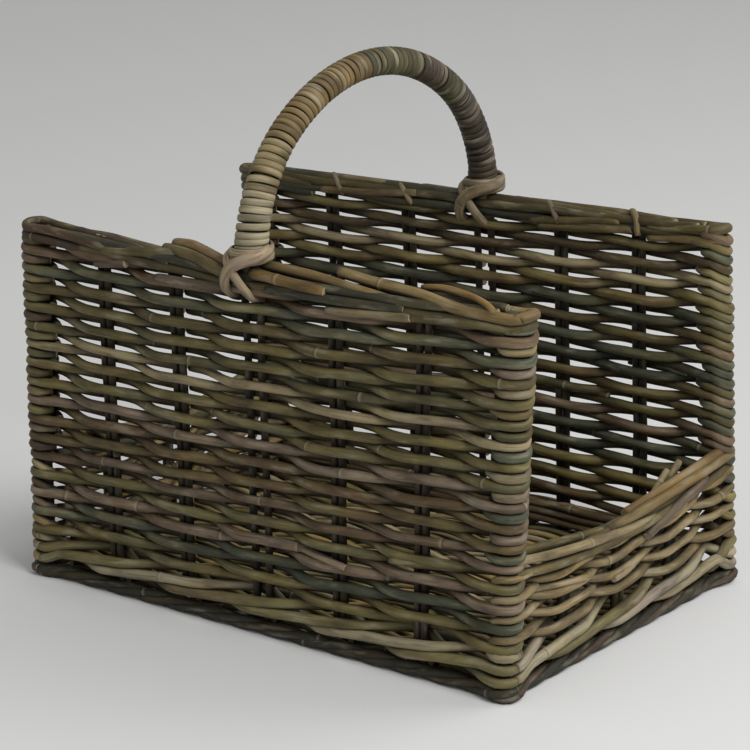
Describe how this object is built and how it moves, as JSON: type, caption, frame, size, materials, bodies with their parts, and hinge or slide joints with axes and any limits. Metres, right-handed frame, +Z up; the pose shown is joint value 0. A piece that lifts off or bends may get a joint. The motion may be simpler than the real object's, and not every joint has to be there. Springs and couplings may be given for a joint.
{
  "type": "log basket",
  "caption": "Open-ended rectangular basket woven from whole rattan rods, with tall long walls, low end walls and a fixed arched carrying handle.",
  "frame": {"origin": "middle of the footprint, on the surface that the basket stands on", "axes": "+X along the tall long walls, +Y from the near long wall to the far one, +Z up"},
  "size_m": [0.4804, 0.347, 0.4421],
  "materials": {
    "weaver_rattan": "weathered unpeeled rattan, dull bark",
    "end_weaver_rattan": "weathered unpeeled rattan, dull bark, paler",
    "stake_rattan": "thin unpeeled rattan rod, matt",
    "post_rattan": "thick unpeeled rattan rod, matt",
    "wale_rattan": "thick weathered rattan rod, dull bark",
    "border_rattan": "thick rattan rod, dark, worn flat underneath",
    "rim_rattan": "rubbed rattan rod, slight sheen",
    "core_rattan": "thick peeled cane",
    "binding_cane": "close-wound cane, slight sheen",
    "lashing_cane": "pale split cane, matt"
  },
  "bodies": {
    "root": {"foot_border_near": "border_rattan", "foot_border_right": "border_rattan", "foot_border_far": "border_rattan", "foot_border_left": "border_rattan", "base_stick_1": "stake_rattan", "base_stick_2": "stake_rattan", "base_stick_3": "stake_rattan", "base_stick_4": "stake_rattan", "base_stick_5": "stake_rattan", "base_stick_6": "stake_rattan", "base_stick_7": "stake_rattan", "base_weave": "weaver_rattan", "wale_near": "wale_rattan", "wale_right": "wale_rattan", "wale_far": "wale_rattan", "wale_left": "wale_rattan", "corner_post_near_left": "post_rattan", "corner_post_near_right": "post_rattan", "corner_post_far_left": "post_rattan", "corner_post_far_right": "post_rattan", "near_stake_pair_1": "stake_rattan", "near_stake_pair_2": "stake_rattan", "near_stake_pair_3": "stake_rattan", "near_stake_pair_4": "stake_rattan", "near_stake_pair_5": "stake_rattan", "far_stake_pair_1": "stake_rattan", "far_stake_pair_2": "stake_rattan", "far_stake_pair_3": "stake_rattan", "far_stake_pair_4": "stake_rattan", "far_stake_pair_5": "stake_rattan", "left_stake_pair_1": "stake_rattan", "left_stake_pair_2": "stake_rattan", "left_stake_pair_3": "stake_rattan", "right_stake_pair_1": "stake_rattan", "right_stake_pair_2": "stake_rattan", "right_stake_pair_3": "stake_rattan", "near_wall_weave": "weaver_rattan", "far_wall_weave": "weaver_rattan", "left_end_weave": "end_weaver_rattan", "right_end_weave": "end_weaver_rattan", "near_rim": "rim_rattan", "far_rim": "rim_rattan", "left_end_rim": "rim_rattan", "right_end_rim": "rim_rattan", "handle_core": "core_rattan", "handle_wrap": "binding_cane", "near_handle_lashing": "lashing_cane", "far_handle_lashing": "lashing_cane"}
  },
  "joints": []
}
